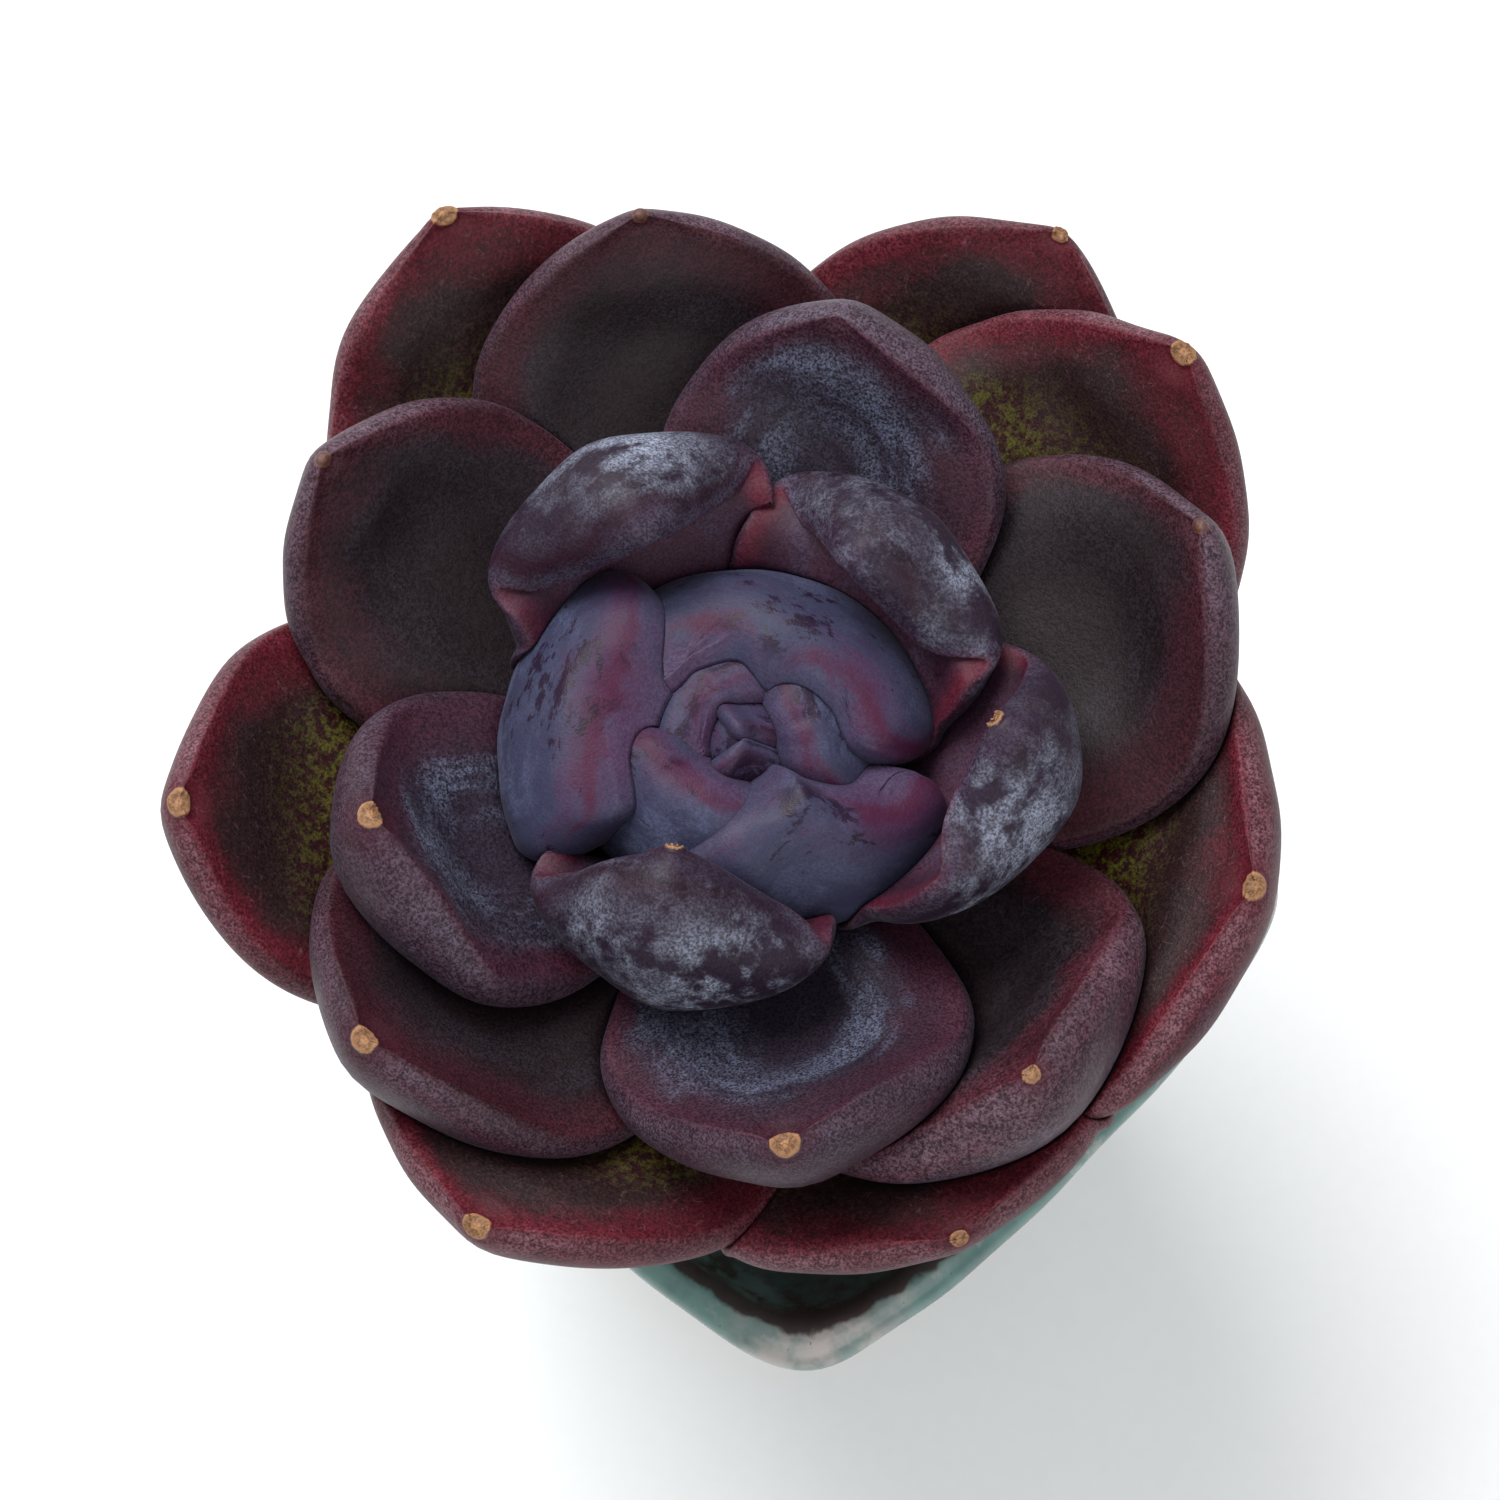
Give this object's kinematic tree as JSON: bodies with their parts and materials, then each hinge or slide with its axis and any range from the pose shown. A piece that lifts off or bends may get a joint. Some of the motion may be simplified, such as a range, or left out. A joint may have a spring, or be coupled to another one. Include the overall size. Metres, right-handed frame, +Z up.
{
  "type": "potted echeveria succulent",
  "caption": "Rosette succulent with thick spoon-shaped leaves on a short stem, rooted in soil in a square glazed planter with a drain hole.",
  "frame": {"origin": "on the surface that the pot stands on, under the middle of the footprint of the pot and the leaves together", "axes": "+Z up; the pot's straight sides run along X and Y; the plant stands a little to the -X side of the pot's middle"},
  "size_m": [0.0948, 0.0956, 0.0921],
  "materials": {
    "pot_glaze": "teal glaze that breaks to brown on the rim, glossy, over stoneware",
    "drain_mesh_plastic": "moulded, matt",
    "soil": "gritty potting mix with pumice, matt",
    "stem_bark": "corky, with leaf scars",
    "young_leaf": "grey-violet waxy bloom, satin",
    "middle_leaf": "dark purple-brown with a thin bloom, satin",
    "old_leaf": "dark burgundy with red margins and an olive base, satin"
  },
  "bodies": {
    "root": {"pot": "pot_glaze", "drain_mesh": "drain_mesh_plastic", "soil": "soil", "stem": "stem_bark", "bud": "young_leaf", "leaf_01": "young_leaf", "leaf_02": "young_leaf", "leaf_03": "young_leaf", "leaf_04": "young_leaf", "leaf_05": "young_leaf", "leaf_06": "young_leaf", "leaf_07": "young_leaf", "leaf_08": "young_leaf", "leaf_09": "young_leaf", "leaf_10": "young_leaf", "leaf_11": "young_leaf", "leaf_12": "young_leaf", "leaf_13": "young_leaf", "leaf_14": "young_leaf", "leaf_15": "middle_leaf", "leaf_16": "middle_leaf", "leaf_17": "middle_leaf", "leaf_18": "middle_leaf", "leaf_19": "middle_leaf", "leaf_20": "middle_leaf", "leaf_21": "middle_leaf", "leaf_22": "old_leaf", "leaf_23": "old_leaf", "leaf_24": "old_leaf", "leaf_25": "old_leaf", "leaf_26": "old_leaf", "leaf_27": "old_leaf", "leaf_28": "old_leaf", "leaf_29": "old_leaf", "leaf_30": "old_leaf"}
  },
  "joints": []
}
